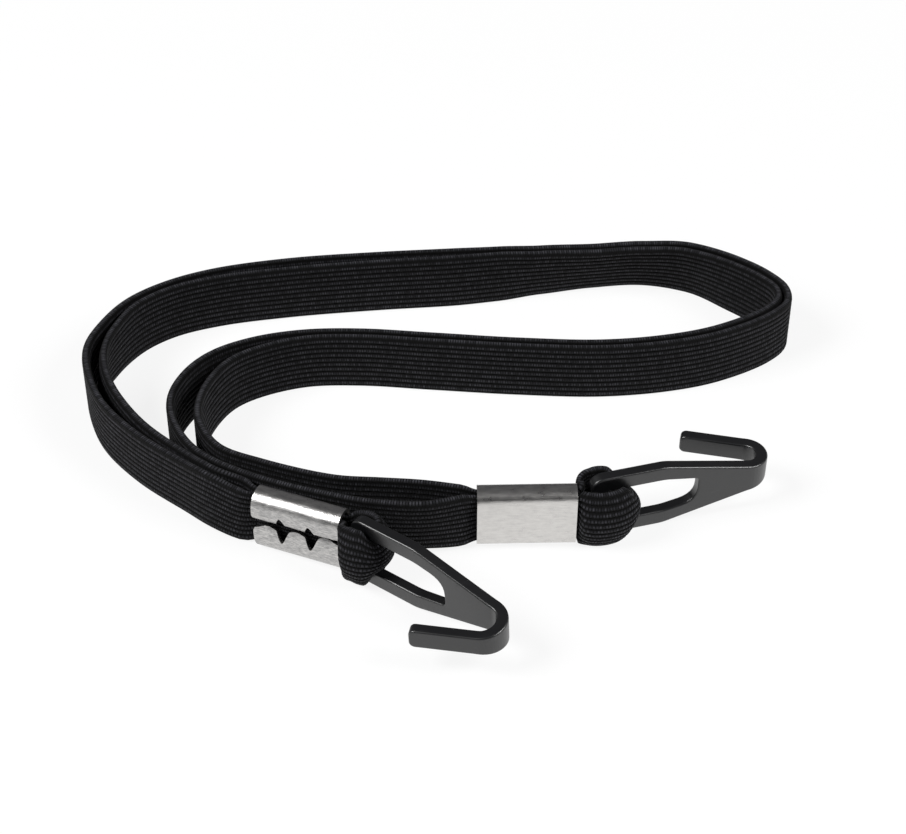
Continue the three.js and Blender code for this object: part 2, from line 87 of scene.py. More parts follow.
# Clips. The wave is a slight unevenness of the sheet towards its seam.
CLIP_LENGTH = 19.4
CLIP_HEIGHT = 14.2
CLIP_SHEET = 0.8
CLIP_PLAIN = 2.0
CLIP_BULGE = 1.0
CLIP_CORNER = 2.0
CLIP_SHOULDER = 1.9
CLIP_CHEEK = 4.0
CHEEK_LOW = 0.25
LIP_BULGE = 0.6
CLIP_EDGE = 0.14
CLIP_COLUMNS = 49
NOTCH_COLUMNS = 26
CLIP_ROWS = 44
FIRST_ROW = 0.14
LINE_STEPS = 200
WAVE_HEIGHT = 0.06
WAVE_RATE = 0.55
WAVE_FROM = 0.55
SEAM_GAP = 0.9
SEAM_OPEN = 1.1
SEAM_SHIFT = 1.3
LOBE_ROUND = 0.8
FLAP_CORNER = 1.8
NOTCH_AT = (-3.23, 3.23)
NOTCH_STEEP = 1.52
NOTCH_SLOW = 2.28
LONG_NOTCH_DEPTH = 3.4
SHORT_NOTCH_DEPTH = 2.3

# Hooks, each cut as a flat blank and then bent
HOOK_THICKNESS = 2.4
EYE_WIDTH = 15.8
EYE_LENGTH = 15.8
EYE_CORNER = 2.6
EYE_BAR = 3.2
EYE_ARM = 3.55
SLOT_END = 23.0
SLOT_END_WIDTH = 6.0
SLOT_CORNER = 0.8
SLOT_ROUND = 3.4
NECK_AT = 34.3
NECK_WIDTH = 6.6
BEND_RADIUS = 3.95
LEG_WIDTH = 4.3
LEG_LENGTH = 13.2
LEG_OPENING = 26.6
LEG_CORNER = 1.2
HOOK_EDGE = 0.42
HOOK_SHARP_ANGLE = 60.0
KINK_ROUND = 1.2
BLANK_STEP = 0.6
BLANK_SOFTEN = 1.0
BLANK_MARGIN = 9.0
CUT_STEP = 2.0
BEND_CUTS = 33
LEG_CUT = 5.0
EDGE_STEPS = 5
CORNER_STEPS = 9

# Floor, in metres, and how much of it glows to the camera
FLOOR_REACH = 3.0
FLOOR_GLOW = 0.86

# How each end lies: middle of its clip, heading, dip, roll and lean, the hook's place and turn in its loop,
# how far the open loop drops, where its gather ends, which side is its back, and the sheet's two ends.
# The loop goes round the eye's bar through bearings from the clip's heading, each with its slack.
END_A = {
    "at": (-27.935, -29.607, 7.472),
    "heading": -24.0,
    "dip": -2.0,
    "roll": 181.0,
    "lean": -1.0,
    "reach": 4.1,
    "side": 1.0,
    "turn": 13.8,
    "drop": 0.0,
    "gathered": 56.0,
    "back": -1.0,
    "sheet": (-9.5, 9.8),
    "loop": [
        (172, 0.2), (150, 0.45), (120, 0.8), (85, 0.9), (54, 1.3), (28, 1.5), (5, 1.5), (-18, 1.4),
        (-49, 1.0), (-85, 0.4), (-122, 0.2), (-147, 0.35),
    ],
}
END_B = {
    "at": (16.956, -26.607, 7.846),
    "heading": 1.4,
    "dip": 0.0,
    "roll": 3.0,
    "lean": 3.0,
    "reach": 4.49,
    "side": 2.35,
    "turn": 13.8,
    "drop": 0.5,
    "gathered": 40.0,
    "back": 1.0,
    "sheet": (-10.0, 10.0),
    "loop": [
        (192, 0.1), (167, 0.4), (144, 0.9), (109, 1.5), (75, 2.0), (38, 2.7), (14, 3.5), (-2, 3.9),
        (-19, 3.5), (-41, 2.6), (-79, 1.6), (-113, 1.6),
    ],
}

# Route of each ply from clip A to clip B: x, y, then lean of its top to the right and lift off the floor
ROUTE_SHIFT = (2.2, 12.493, 0.051)
LAY_LENGTH = 153.5
LAY_DEPTH = 85.1
SPLIT_POINT = 35
OUTER_ROUTE = [
    (-48.4, -35.1, 1.5, 0.9), (-54.5, -29.7, 0, 0.3), (-65.1, -20.3), (-73.3, -10), (-77.7, 1.5),
    (-78.5, 8.5), (-76.6, 15.6), (-71.8, 24.4), (-64.3, 30.9), (-53.7, 36), (-37, 40), (-17, 42.4),
    (0, 43.8), (10, 44.7, 2), (20, 46.2, 11), (32, 48, 18), (43.5, 49.1, 18), (54.8, 47.2, 11),
    (65.2, 40.3, 2), (70.7, 35), (73.8, 30), (73.8, 25), (69.6, 19.9), (58, 13.1), (46.8, 9.7),
    (32, 7.9), (13.7, 8.6), (-5, 10.3), (-20, 11.7), (-32, 11.2), (-41.8, 7.7), (-47.4, 3.6),
    (-50.9, -2.3), (-52.8, -9.5), (-52.4, -16), (-47.6, -24.6), (-38.4, -29.2), (-24, -33.6),
    (-15, -34.7, 0, 0.6), (-6.5, -36, 2, 1.2),
]
INNER_ROUTE = [
    (-47, -33.4, 1.5, 0.9), (-53, -28, 0, 0.3), (-63, -18.7), (-70.4, -8.2), (-74.4, 1.5),
    (-75.2, 8), (-73.8, 14.6), (-69.8, 23), (-63, 29), (-53, 33.2), (-37.2, 36.6), (-17, 39.3),
    (0, 41), (10, 42.5, 2), (20.2, 44.1, 11), (32, 45.8, 18), (43, 46.9, 18), (53.7, 45, 11),
    (63.6, 38.4, 2), (68.9, 33.5), (71.7, 29.6), (71.8, 26), (68.4, 21.6), (57.2, 15), (46.3, 11.7),
    (32, 9.9), (13.9, 10.6), (-4.8, 12.4), (-20, 13.8), (-32.5, 13.4), (-43, 10.8), (-51, 6.4),
    (-56, 0.4), (-58.8, -8), (-57.8, -15.6), (-52.4, -25.4), (-42, -33), (-26, -39.2),
    (-15, -41.6, 6, 0.5), (-6, -42.6, 8, 1.1),
]
# The drawn plies leave the listed points a little, to press together and to clear clip A.
# Each line has a point's number, then its shift and added lean.
OUTER_PRESS = {
    36: (0.0, -0.2, 0.0, 0.0),
    37: (0.0, -0.6, 0.0, 0.0),
    38: (0.0, -0.6, -0.4, 0.0),
    39: (0.0, -0.4, -0.5, 0.0),
}
INNER_PRESS = {
    2: (-0.1, 0.0, 0.0, 3.0),
    3: (-0.4, 0.0, 0.0, 6.5),
    4: (-0.45, 0.0, 0.0, 8.0),
    5: (-0.4, 0.0, 0.0, 8.0),
    6: (-0.2, 0.0, 0.0, 4.0),
    36: (0.1, 0.2, 0.0, 0.0),
    37: (0.1, 0.2, 0.0, 0.0),
}
NODE_GAP = 0.3
PLY_LEAD = 3.0
PLY_SPREAD = 1.9
LEAN_TENSION = 0.2
FINE_STEPS = 6000
SMALL_STEP = 1e-5


# Camera
camera_data = bpy.data.cameras.new("camera")
camera_data.sensor_fit = "HORIZONTAL"
camera_data.sensor_width = 36.0
camera_data.lens = 85.43
camera_data.clip_start = 0.01
camera_data.clip_end = 20.0
camera = bpy.data.objects.new("camera", camera_data)
camera.location = (0.0022, -0.344947, 0.300481)
camera.rotation_euler = (math.radians(50.0), 0.0, 0.0)
scene.collection.objects.link(camera)
scene.camera = camera


# Small helpers
def smooth(x, low, high):
    """0 below low, 1 above high and an even S between."""
    part = np.clip((np.asarray(x, float) - low) / (high - low), 0.0, 1.0)
    return part * part * (3.0 - 2.0 * part)


def mix(a, b, part):
    """From a to b as part goes from 0 to 1."""
    return a + (b - a) * part


def unit(vectors):
    """Vectors of length 1 in the same directions."""
    return vectors / np.linalg.norm(vectors, axis=-1, keepdims=True)


def end_matrix(end):
    """A clip's own frame: x towards its hook, y towards its seam, z across the band."""
    turn = Euler([math.radians(end[k]) for k in ("roll", "dip", "heading")], "XYZ")
    return Matrix.Translation(Vector(end["at"])) @ turn.to_matrix().to_4x4()


def moved(points, matrix):
    """Points of an end's own frame in the part's frame."""
    m = np.array(matrix)
    return np.asarray(points, float) @ m[:3, :3].T + m[:3, 3]


def spline(points, t, tension=None):
    """Points at t from 0 to 1 on a Catmull-Rom curve: centripetal, or even with a tension."""
    points = np.asarray(points, float)
    padded = np.vstack([2 * points[0] - points[1], points, 2 * points[-1] - points[-2]])
    place = np.clip(np.asarray(t, float), 0.0, 1.0) * (len(points) - 1)
    first = np.minimum(place.astype(int), len(points) - 2)
    part = (place - first)[:, None]
    p0, p1, p2, p3 = (padded[first + k] for k in range(4))
    if tension is None:
        g0, g1, g2 = (
            np.sqrt(np.linalg.norm(b - a, axis=1))[:, None] for a, b in ((p0, p1), (p1, p2), (p2, p3))
        )
        out = g1 * ((p1 - p0) / g0 - (p2 - p0) / (g0 + g1) + (p2 - p1) / g1)
        back = g1 * ((p2 - p1) / g1 - (p3 - p1) / (g1 + g2) + (p3 - p2) / g2)
    else:
        out = tension * (p2 - p0)
        back = tension * (p3 - p1)
    bend = -3 * p1 + 3 * p2 - 2 * out - back
    twist = 2 * p1 - 2 * p2 + out + back
    return p1 + out * part + bend * part**2 + twist * part**3


def even_steps(points, start, end, step):
    """Values of t from start to end that lie about one step apart along a curve, and the length to each."""
    fine = np.linspace(start, end, FINE_STEPS)
    way = spline(points, fine)
    run = np.concatenate([[0.0], np.cumsum(np.linalg.norm(np.diff(way, axis=0), axis=1))])
    count = max(2, int(round(run[-1] / step)))
    lengths = np.linspace(0.0, run[-1], count + 1)
    return np.interp(lengths, run, fine), lengths


def ahead_of(points, t):
    """Direction of a curve at each t."""
    after = spline(points, np.minimum(t + SMALL_STEP, 1.0))
    before = spline(points, np.maximum(t - SMALL_STEP, 0.0))
    return unit(after - before)


def new_piece(name, vertices, faces, material):
    """A mesh object from points in millimetres."""
    mesh = bpy.data.meshes.new(name)
    mesh.from_pydata((np.asarray(vertices) * MM).tolist(), [], faces)
    mesh.validate()
    piece = bpy.data.objects.new(name, mesh)
    scene.collection.objects.link(piece)
    mesh.materials.append(material)
    return piece


def round_off(piece, angle):
    """Smooth shading, with an edge left sharp where two faces meet at more than the angle."""
    mesh = piece.data
    mesh.polygons.foreach_set("use_smooth", [True] * len(mesh.polygons))
    mesh.set_sharp_from_angle(angle=math.radians(angle))
    mesh.update()


# Materials
class Shader:
    """A node material that is written line by line."""

    def __init__(self, name, **sockets):
        self.material = bpy.data.materials.new(name)
        self.material.use_nodes = True
        self.tree = self.material.node_tree
        self.surface = self.tree.nodes["Principled BSDF"]
        for socket, value in sockets.items():
            self.surface.inputs[socket.replace("_", " ")].default_value = value

    def node(self, kind, inputs=None, **settings):
        made = self.tree.nodes.new("ShaderNode" + kind)
        for key, value in settings.items():
            setattr(made, key, value)
        for key, value in (inputs or {}).items():
            if isinstance(value, bpy.types.NodeSocket):
                self.tree.links.new(value, made.inputs[key])
            else:
                made.inputs[key].default_value = value
        return made

    def math(self, operation, a, b=0.0, clamp=False):
        return self.node("Math", {0: a, 1: b}, operation=operation, use_clamp=clamp).outputs[0]

    def between(self, value, low, high):
        """Takes a value from 0 to 1 to the range from low to high."""
        return self.node("MapRange", {"Value": value, "To Min": low, "To Max": high}).outputs[0]

    def share(self, value, low, high):
        """How far a value has come from low to high, from 0 to 1."""
        return self.node("MapRange", {"Value": value, "From Min": low, "From Max": high}).outputs[0]

    def colours(self, value, *stops):
        """A colour ramp over a value."""
        ramp = self.node("ValToRGB", {"Fac": value})
        elements = ramp.color_ramp.elements
        while len(elements) < len(stops):
            elements.new(0.5)
        for element, (place, colour) in zip(elements, stops):
            element.position = place
            element.color = (*colour, 1.0)
        return ramp.outputs["Color"]

    def noise(self, vector, scale, detail=3.0, roughness=0.55):
        inputs = {"Vector": vector, "Scale": scale, "Detail": detail, "Roughness": roughness}
        return self.node("TexNoise", inputs).outputs["Fac"]

    def stretched(self, vector, scale):
        return self.node("Mapping", {"Vector": vector, "Scale": scale}).outputs["Vector"]

    def bump(self, height, distance, strength):
        inputs = {"Height": height, "Distance": distance, "Strength": strength}
        return self.node("Bump", inputs).outputs["Normal"]

    def set(self, socket, value):
        self.tree.links.new(value, self.surface.inputs[socket])


def woven_material():
    """Black elastic webbing with a faint sheen: stitches across each rib, painted shade between the ribs and
    a painted highlight on the ridges.
    """
    s = Shader("woven_black", Specular_IOR_Level=0.14, Sheen_Weight=0.03, Sheen_Roughness=0.45)
    along = s.node("UVMap", uv_map="weave").outputs["UV"]
    stitch = s.node(
        "TexBrick",
        {
            "Vector": along,
            "Color1": (0.0085, 0.0085, 0.0102, 1.0),
            "Color2": (0.034, 0.034, 0.0395, 1.0),
            "Mortar": (0.001, 0.001, 0.0012, 1.0),
            "Scale": 1.0,
            "Mortar Size": 0.15,
            "Mortar Smooth": 0.6,
            "Bias": 0.0,
            "Brick Width": 0.55,
            "Row Height": 1.0,
        },
        offset=0.5,
    )
    place = s.node("TexCoord").outputs["Object"]
    patch = s.noise(place, 55.0, 2.0)
    fuzz = s.noise(s.stretched(along, (1.6, 3.0, 1.0)), 2.2, 4.0, 0.7)
    rib = s.math("FRACT", s.node("SeparateXYZ", {"Vector": along}).outputs["Y"])
    groove = s.math("ABSOLUTE", s.math("SUBTRACT", s.math("MULTIPLY", rib, 2.0), 1.0))
    # Painted highlight on each rib's ridge and painted shade in the grooves between the ribs, multiplied
    # into the colour.
    ridge_highlight_groove_shade = s.between(s.share(groove, 0.1, 0.62), 1.3, 0.06)
    shade = s.math("MULTIPLY", s.between(patch, 0.72, 1.3), s.between(fuzz, 0.6, 1.45))
    shade = s.math("MULTIPLY", shade, ridge_highlight_groove_shade)
    colour = s.node(
        "Mix",
        {"Factor": 1.0, 6: stitch.outputs["Color"], 7: shade},
        data_type="RGBA",
        blend_type="MULTIPLY",
    )
    s.set("Base Color", colour.outputs[2])
    raised = s.math("SUBTRACT", 1.0, stitch.outputs["Fac"])
    height = s.math("ADD", raised, s.math("MULTIPLY", fuzz, 0.5))
    s.set("Normal", s.bump(height, 0.00012, 0.8))
    s.set("Roughness", s.between(fuzz, 0.68, 0.92))
    return s.material


def coated_material():
    """Black baked coat on steel: satin, faintly dimpled, with a few rubbed places."""
    s = Shader("black_coat", Metallic=0.0, Specular_IOR_Level=0.76)
    place = s.node("TexCoord").outputs["Object"]
    dimple = s.noise(place, 1500.0, 2.0)
    cloud = s.noise(place, 140.0, 3.0)
    rub = s.noise(s.stretched(place, (260.0, 900.0, 700.0)), 1.0, 4.0, 0.65)
    worn = s.between(s.math("SUBTRACT", rub, 0.62, clamp=True), 0.0, 6.0)
    s.set("Base Color", s.colours(worn, (0.0, (0.0045, 0.0046, 0.0052)), (1.0, (0.02, 0.02, 0.0215))))
    gloss = s.math("ADD", s.between(cloud, 0.25, 0.36), s.math("MULTIPLY", rub, 0.08))
    s.set("Roughness", gloss)
    s.set("Normal", s.bump(dimple, 0.00002, 0.35))
    return s.material


def clip_material():
    """Bright rolled aluminium: mill streaks, dull blotches, small scratches and scuffs at the seam."""
    s = Shader("clip_aluminium", Metallic=1.0)
    along = s.node("UVMap", uv_map="sheet").outputs["UV"]
    streak = s.noise(s.stretched(along, (0.22, 9.0, 1.0)), 1.0, 5.0, 0.6)
    blotch = s.noise(s.stretched(along, (0.5, 0.9, 1.0)), 1.0, 4.0, 0.6)
    scratch = s.noise(s.stretched(along, (0.9, 16.0, 1.0)), 1.3, 2.0, 0.5)
    mark = s.between(s.math("SUBTRACT", scratch, 0.64, clamp=True), 0.0, 7.0)
    tone = s.math("ADD", s.math("MULTIPLY", streak, 0.55), s.math("MULTIPLY", blotch, 0.4))
    tone = s.math("ADD", tone, 0.025)
    reach = s.math("ABSOLUTE", s.node("SeparateXYZ", {"Vector": along}).outputs["Y"])
    crimped = s.share(reach, 7.5, 10.5)
    grain = s.noise(s.stretched(along, (0.8, 3.4, 1.0)), 1.0, 6.0, 0.78)
    scuff = s.math("MULTIPLY", crimped, s.share(grain, 0.36, 0.66))
    tone = s.math("SUBTRACT", tone, s.math("MULTIPLY", scuff, 0.4))
    s.set(
        "Base Color",
        s.colours(
            s.math("SUBTRACT", tone, s.math("MULTIPLY", mark, 0.12)),
            (0.1, (0.25, 0.247, 0.243)),
            (0.3, (0.45, 0.445, 0.44)),
            (0.5, (0.63, 0.615, 0.595)),
            (0.72, (0.74, 0.73, 0.71)),
        ),
    )
    dull = s.math("ADD", s.math("MULTIPLY", mark, 0.06), s.math("MULTIPLY", scuff, 0.1))
    s.set("Roughness", s.math("ADD", s.between(blotch, 0.2, 0.4), dull))
    height = s.math("ADD", streak, s.math("MULTIPLY", blotch, 1.5))
    s.set("Normal", s.bump(height, 0.00005, 0.6))
    return s.material


def floor_material():
    """A pale floor that is near white to the camera and in reflections, and keeps a soft shadow."""
    s = Shader("pale_floor")
    paths = s.node("LightPath").outputs
    shiny = s.math("MAXIMUM", paths["Is Glossy Ray"], paths["Is Transmission Ray"])
    seen = s.math("MAXIMUM", paths["Is Camera Ray"], shiny)
    matt = s.node("BsdfDiffuse", {"Color": (0.9, 0.9, 0.9, 1.0)}).outputs[0]
    glow = s.node("Emission", {"Color": (1.0, 1.0, 1.0, 1.0), "Strength": 1.0}).outputs[0]
    both = s.node("MixShader", {"Fac": s.math("MULTIPLY", seen, FLOOR_GLOW), 1: matt, 2: glow})
    s.tree.links.new(both.outputs[0], s.tree.nodes["Material Output"].inputs["Surface"])
    s.tree.nodes.remove(s.surface)
    return s.material


woven = woven_material()
coat = coated_material()
aluminium = clip_material()


# Ribbed band
def rib_outline():
    """The closed outline of the ribbed band: face, place across it, turn round the edge and ribs passed."""
    rows = []
    for face in (1.0, -1.0):
        for rib in range(RIBS):
            for share in RIB_SHARES:
                rows.append((face, face * (2.0 * (rib + share) / RIBS - 1.0), 0.0, rib + share))
        rows.append((face, face, 0.0, float(RIBS)))
        for turn in EDGE_TURNS:
            rows.append((face, face, turn, RIBS + turn / 180.0))
    return np.array(rows)


OUTLINE = rib_outline()


def band_rings(at, left, up, width, thickness, crown):
    """Points of the ribbed section at each station. A crown swells the left face and curls the edges."""
    face, across, turn, count = OUTLINE.T
    inside = (turn == 0.0).astype(float)
    hump = np.sqrt(np.clip(1.0 - (2.0 * (count % 1.0) - 1.0) ** 2, 0.0, 1.0)) * inside
    half_width = width[:, None] / 2.0 - SELVEDGE
    half_thick = thickness[:, None] / 2.0 - np.where(np.abs(across) == 1.0, EDGE_SLIM, RIB_HEIGHT)
    angle = np.radians(turn)
    depth = half_thick * face * np.cos(angle) + RIB_HEIGHT * face * hump
    height = half_width * across + SELVEDGE * face * np.sin(angle)
    swell = LOOP_CROWN * (face > 0) * inside * (1.0 - across**2) - LOOP_CURL * across**2
    depth = depth + crown[:, None] * swell
    return at[:, None] + left[:, None] * depth[..., None] + up[:, None] * height[..., None]


def band_piece(name, at, left, up, width, thickness, lengths, crown=None):
    """A closed ribbed band through stations, with the weave's coordinates along it and round it."""
    crown = np.zeros(len(at)) if crown is None else crown
    rings = band_rings(at, left, up, width, thickness, crown)
    stations, around = rings.shape[:2]
    i, k = np.meshgrid(np.arange(stations - 1), np.arange(around), indexing="ij")
    following = (k + 1) % around
    here, ahead = i * around, (i + 1) * around
    quads = np.stack([here + k, here + following, ahead + following, ahead + k], axis=-1).reshape(-1, 4)
    first = list(range(around))[::-1]
    last = [(stations - 1) * around + n for n in range(around)]
    piece = new_piece(name, rings.reshape(-1, 3), quads.tolist() + [first, last], woven)
    per_face = around // 2
    place = np.concatenate([OUTLINE[:per_face, 3], OUTLINE[per_face:, 3] + RIBS + 1.0, [2.0 * RIBS + 2.0]])
    uv = np.stack(
        [
            np.stack([lengths[i], place[k]], -1),
            np.stack([lengths[i], place[k + 1]], -1),
            np.stack([lengths[i + 1], place[k + 1]], -1),
            np.stack([lengths[i + 1], place[k]], -1),
        ],
        axis=-2,
    ).reshape(-1, 2)
    caps = np.concatenate(
        [
            np.stack([np.full(around, lengths[0]), place[:around][::-1]], -1),
            np.stack([np.full(around, lengths[-1]), place[:around]], -1),
        ]
    )
    layer = piece.data.uv_layers.new(name="weave")
    layer.data.foreach_set("uv", np.concatenate([uv, caps]).astype(np.float32).ravel())
    round_off(piece, SHARP_ANGLE)
    return piece


def ply_points(route, press, side, last_x):
    """A ply's way from clip A's mouth to clip B, with the lean at each point."""
    mouth = CLIP_LENGTH / 2.0 + NODE_GAP
    stretch = np.array((LAY_LENGTH, LAY_DEPTH)) / np.ptp([p[:2] for p in OUTER_ROUTE], axis=0)
    a, b = end_matrix(END_A), end_matrix(END_B)

    def in_clip(matrix, x, spread):
        return moved([(x, side * GRIP_OFFSET * spread, 0.0)], matrix)[0]

    points = [in_clip(a, -mouth, 1.0), in_clip(a, -mouth - PLY_LEAD, PLY_SPREAD)]
    leans = [END_A["lean"]] * 2
    for place, (x, y, *rest) in enumerate(route):
        lean, lift = (*rest, 0.0, 0.0)[:2]
        *shift, added_lean = press.get(place, (0.0, 0.0, 0.0, 0.0))
        lean += added_lean
        tip = math.radians(lean)
        z = (BAND_WIDTH * math.cos(tip) + BAND_THICKNESS * abs(math.sin(tip))) / 2.0 + lift
        listed = np.array((x * stretch[0], y * stretch[1], z)) + ROUTE_SHIFT
        points.append(listed + shift)
        leans.append(lean)
    points += [in_clip(b, -mouth - PLY_LEAD, PLY_SPREAD), in_clip(b, -mouth, 1.0)]
    leans += [END_B["lean"]] * 2
    grip = len(points) - 1
    if last_x > -mouth:
        points.append(in_clip(b, last_x, 1.0))
        leans.append(END_B["lean"])
    return np.array(points), np.array(leans)[:, None], grip


def ply_piece(name, points, leans, grip, start, end, offset):
    """A length of one ply, the points of its middle line and its length."""
    t, lengths = even_steps(points, start, end, RING_STEP)
    at = spline(points, t)
    ahead = ahead_of(points, t)
    lean = np.radians(spline(leans, t, LEAN_TENSION))
    level = unit(np.cross((0.0, 0.0, 1.0), ahead))
    upright = np.cross(ahead, level)
    up = upright * np.cos(lean) - level * np.sin(lean)
    left = level * np.cos(lean) + upright * np.sin(lean)
    steps = len(points) - 1
    from_a = np.where(t < 0.5, np.linalg.norm(at - points[0], axis=1), np.inf)
    to_b = np.where(t < 0.5, np.inf, np.linalg.norm(at - points[grip], axis=1))
    to_b = np.where(t * steps > grip, 0.0, to_b)
    free = smooth(np.minimum(from_a, to_b), 0.0, GRIP_TAPER)
    held = np.where(t * steps > grip + HELD_FROM, GRIP_WIDTH, PLY_GRIP_WIDTH)
    width = mix(held, BAND_WIDTH, free)
    thickness = mix(GRIP_THICKNESS, BAND_THICKNESS, free)
    piece = band_piece(name, at, left, up, width, thickness, lengths + offset)
    return piece, at, lengths[-1]


def make_ply(name, route, press, side, last_x):
    """One ply as a coil, attached to the strap, and a front run."""
    points, leans, grip = ply_points(route, press, side, last_x)
    split = (SPLIT_POINT + 2) / (len(points) - 1)
    coil, way, length = ply_piece(name + "_coil", points, leans, grip, 0.0, split, 0.0)
    run, _, _ = ply_piece(name + "_run", points, leans, grip, split, 1.0, length)
    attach(coil, "strap")
    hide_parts(name + "_coil_cover", name + "_coil_core")
    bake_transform(run)
    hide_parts(name + "_run_cover", name + "_run_core")


make_ply("outer_ply", OUTER_ROUTE, OUTER_PRESS, 1.0, -CLIP_LENGTH / 2.0 - NODE_GAP)
make_ply("inner_ply", INNER_ROUTE, INNER_PRESS, -1.0, -NODE_GAP)


# Loops
def make_loop(letter, end, leg_end):
    """The band's turn through a hook's eye, gathered in its slot."""
    mouth = CLIP_LENGTH / 2.0
    bar = np.array((mouth + end["reach"], end["side"], 0.0))
    straight = (LEG_SHARE * mouth, mouth - LEG_MARGIN, mouth + LEG_MARGIN)
    points = [(-mouth, GRIP_OFFSET, 0.0)] + [(x, GRIP_OFFSET, 0.0) for x in straight]
    for bearing, slack in end["loop"]:
        angle = math.radians(bearing)
        points.append(bar + (LOOP_RADIUS + slack) * np.array((math.cos(angle), math.sin(angle), 0.0)))
    points += [(x, -GRIP_OFFSET, 0.0) for x in straight[::-1]] + [(leg_end, -GRIP_OFFSET, 0.0)]
    points = np.array(points, float)
    t, lengths = even_steps(points, 0.0, 1.0, LOOP_STEP)
    at = spline(points, t)
    ahead = ahead_of(points, t)
    up = np.tile((0.0, 0.0, 1.0), (len(at), 1))
    left = np.cross(up, ahead)
    bearing = np.arctan2(at[:, 1] - bar[1], at[:, 0] - bar[0]) - math.radians(end["turn"])
    away = np.degrees(np.abs(np.arctan2(np.sin(bearing), np.cos(bearing))))
    behind = end["back"] * (at[:, 1] - bar[1]) > 0.0
    taper = np.where(behind, BACK_TAPER, LOOP_TAPER)
    lip = max(end["sheet"][1], mouth + NODE_GAP)
    free = smooth(at[:, 0], lip, lip + taper)
    gathered = np.where(behind, GATHER_BACK, end["gathered"])
    spread = smooth(away, GATHER_START, gathered)
    width = mix(GRIP_WIDTH, mix(GATHER_WIDTH, LOOP_WIDTH, spread), free)
    thickness = mix(GRIP_THICKNESS, LOOP_THICKNESS, free)
    crown = smooth(at[:, 0], lip + CROWN_START, lip + CROWN_END)
    at[:, 2] -= end["drop"] * crown * spread
    matrix = end_matrix(end)
    turn = np.array(matrix)[:3, :3]
    name = "loop_" + letter
    piece = band_piece(
        name, moved(at, matrix), left @ turn.T, up @ turn.T, width, thickness, lengths, crown
    )
    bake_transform(piece)
    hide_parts(name + "_cover", name + "_core")


make_loop("a", END_A, -CLIP_LENGTH / 2.0)
make_loop("b", END_B, 0.0)


# Clips
def clip_half_line(lip):
    """Half of the folded sheet's middle line, from the plain face round to its lip: across and up."""
    top = CLIP_HEIGHT / 2.0 - CLIP_SHEET / 2.0
    plain, seam, peak = -CLIP_PLAIN, CLIP_PLAIN, CLIP_PLAIN + CLIP_BULGE
    t = np.linspace(0.0, 1.0, LINE_STEPS)[:, None]

    def bezier(*corners):
        corners = [np.array(c) for c in corners]
        while len(corners) > 1:
            corners = [mix(a, b, t) for a, b in zip(corners, corners[1:])]
        return corners[0]

    corner = (plain + CLIP_CORNER, top)
    shoulder = (seam - CLIP_SHOULDER, top)
    cheek = (peak, top - CLIP_CHEEK)
    low_cheek = (peak, CHEEK_LOW * top)
    curl = (seam + LIP_BULGE * CLIP_BULGE, lip + CLIP_SHEET / 2.0)
    pieces = [
        bezier((plain, 0.0), (plain, top - CLIP_CORNER)),
        bezier((plain, top - CLIP_CORNER), (plain, top), corner),
        bezier(corner, shoulder),
        bezier(shoulder, (peak, top), cheek),
        bezier(cheek, low_cheek, curl, (seam, lip)),
    ]
    line = np.concatenate(pieces)
    run = np.concatenate([[0.0], np.cumsum(np.linalg.norm(np.diff(line, axis=0), axis=1))])
    return line, run


def notch_depth(x, depth, ends):
    """How far a seam edge is cut back at x: round lobes, notches with a steep side, and round corners."""
    spacing = NOTCH_AT[1] - NOTCH_AT[0]
    cut = LOBE_ROUND * (depth / LONG_NOTCH_DEPTH) * (0.5 - 0.5 * np.cos(2.0 * math.pi * x / spacing))
    for middle in NOTCH_AT:
        reach = np.where(x < middle, NOTCH_STEEP, NOTCH_SLOW)
        cut = np.maximum(cut, depth * smooth(1.0 - np.abs(x - middle) / reach, 0.0, 1.0))
    short = np.clip(FLAP_CORNER - np.minimum(x - ends[0], ends[1] - x), 0.0, FLAP_CORNER)
    return np.maximum(cut, FLAP_CORNER - np.sqrt(FLAP_CORNER**2 - short**2))


